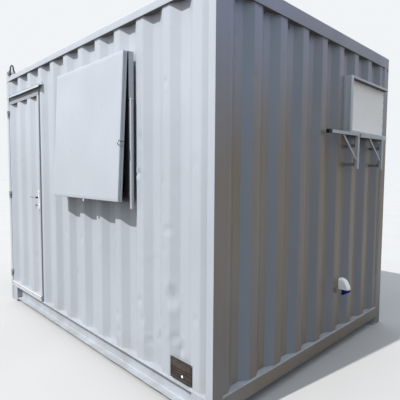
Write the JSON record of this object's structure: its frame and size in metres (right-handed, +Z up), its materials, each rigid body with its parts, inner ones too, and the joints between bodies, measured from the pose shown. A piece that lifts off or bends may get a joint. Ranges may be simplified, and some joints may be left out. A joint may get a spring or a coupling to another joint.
{
  "type": "shipping container cabin",
  "caption": "Short corrugated steel container made into a site cabin, with an outward-opening door, a top-hung window flap, a cooling unit outlet and folding brackets.",
  "frame": {"origin": "centre of the footprint of the four corner posts, on the ground under the feet", "axes": "+X along the long side, towards the end wall with the folding brackets; -Y is the front with the door and the window flap; +Z up"},
  "size_m": [3.3995, 2.5552, 2.6993],
  "materials": {
    "paint": "weathered light grey semi-gloss paint",
    "frame_steel": "painted steel with worn edges",
    "plywood": "varnished plywood",
    "lining": "coated board, semi-gloss",
    "tread_plate": "worn steel tread plate",
    "lock_metal": "satin metal",
    "window_metal": "coated aluminium",
    "window_glass": "clear",
    "white_plastic": "moulded plastic",
    "blue_plastic": "moulded plastic",
    "dark_plate": "dark enamelled plate, bare",
    "zinc": "galvanised"
  },
  "bodies": {
    "cabin": {"corner_posts": "paint", "side_top_rails": "paint", "end_headers": "paint", "bottom_channels": "paint", "end_bottom_rails": "paint", "floor_beams": "frame_steel", "floor_boards": "plywood", "roof_sheet": "paint", "front_wall_over_door": "paint", "front_wall_pier": "paint", "front_wall_window_bay": "paint", "front_wall_right": "paint", "rear_wall": "paint", "left_wall": "paint", "right_wall": "paint", "right_wall_outlet_bay": "paint", "front_lining": "lining", "rear_lining": "lining", "left_lining": "lining", "right_lining": "lining", "ceiling": "lining", "door_frame": "paint", "hinge_butts": "frame_steel", "drip_cap": "paint", "window_box": "paint", "window_frame": "window_metal", "window_glass": "window_glass", "outlet_frame": "paint", "outlet_board": "lining", "bracket_hinges": "frame_steel", "inlet_housing": "white_plastic", "inlet_socket": "blue_plastic", "bare_plate": "dark_plate", "lifting_lugs": "paint"},
    "door": {"door_leaf": "paint", "door_skin": "paint", "door_inner_board": "lining", "door_kick_plate": "tread_plate", "door_lock": "lock_metal", "hinge_leaves": "frame_steel"},
    "lever": {"door_handle": "lock_metal"},
    "flap": {"window_flap": "paint"},
    "stay": {"flap_stay": "paint"},
    "near_bracket": {"bracket_near": "paint"},
    "far_bracket": {"bracket_far": "paint"},
    "shackle": {"shackle_bow": "zinc", "shackle_pin": "zinc"}
  },
  "joints": [
    {"name": "door_swing", "type": "hinge", "parent": "cabin", "child": "door", "pos_m": [-1.598, -1.231, 1.236], "axis": [0, 0, -1], "range_deg": [0, 110]},
    {"name": "lever_turn", "type": "hinge", "parent": "door", "child": "lever", "pos_m": [-0.7815, -1.1945, 1.24], "axis": [0, -1, 0], "range_deg": [0, 38], "stiffness_Nm_per_rad": 1.5, "springref_deg": -28.65},
    {"name": "flap_swing", "type": "hinge", "parent": "cabin", "child": "flap", "pos_m": [0.3405, -1.244, 2.326], "axis": [-1, 0, 0], "range_deg": [-2.8, 87]},
    {"name": "stay_swing", "type": "hinge", "parent": "cabin", "child": "stay", "pos_m": [0.8775, -1.231, 1.992], "axis": [-1, 0, 0], "range_deg": [0, 120]},
    {"name": "near_bracket_fold", "type": "hinge", "parent": "cabin", "child": "near_bracket", "pos_m": [1.7025, 0.425, 1.668], "axis": [0, 0, 1], "range_deg": [0, 95.7]},
    {"name": "far_bracket_fold", "type": "hinge", "parent": "cabin", "child": "far_bracket", "pos_m": [1.7025, 0.929, 1.668], "axis": [0, 0, 1], "range_deg": [0, 95.7]},
    {"name": "shackle_turn", "type": "hinge", "parent": "cabin", "child": "shackle", "pos_m": [-1.5425, -1.194, 2.5978], "axis": [0, 1, 0], "range_deg": [-65, 85]}
  ]
}
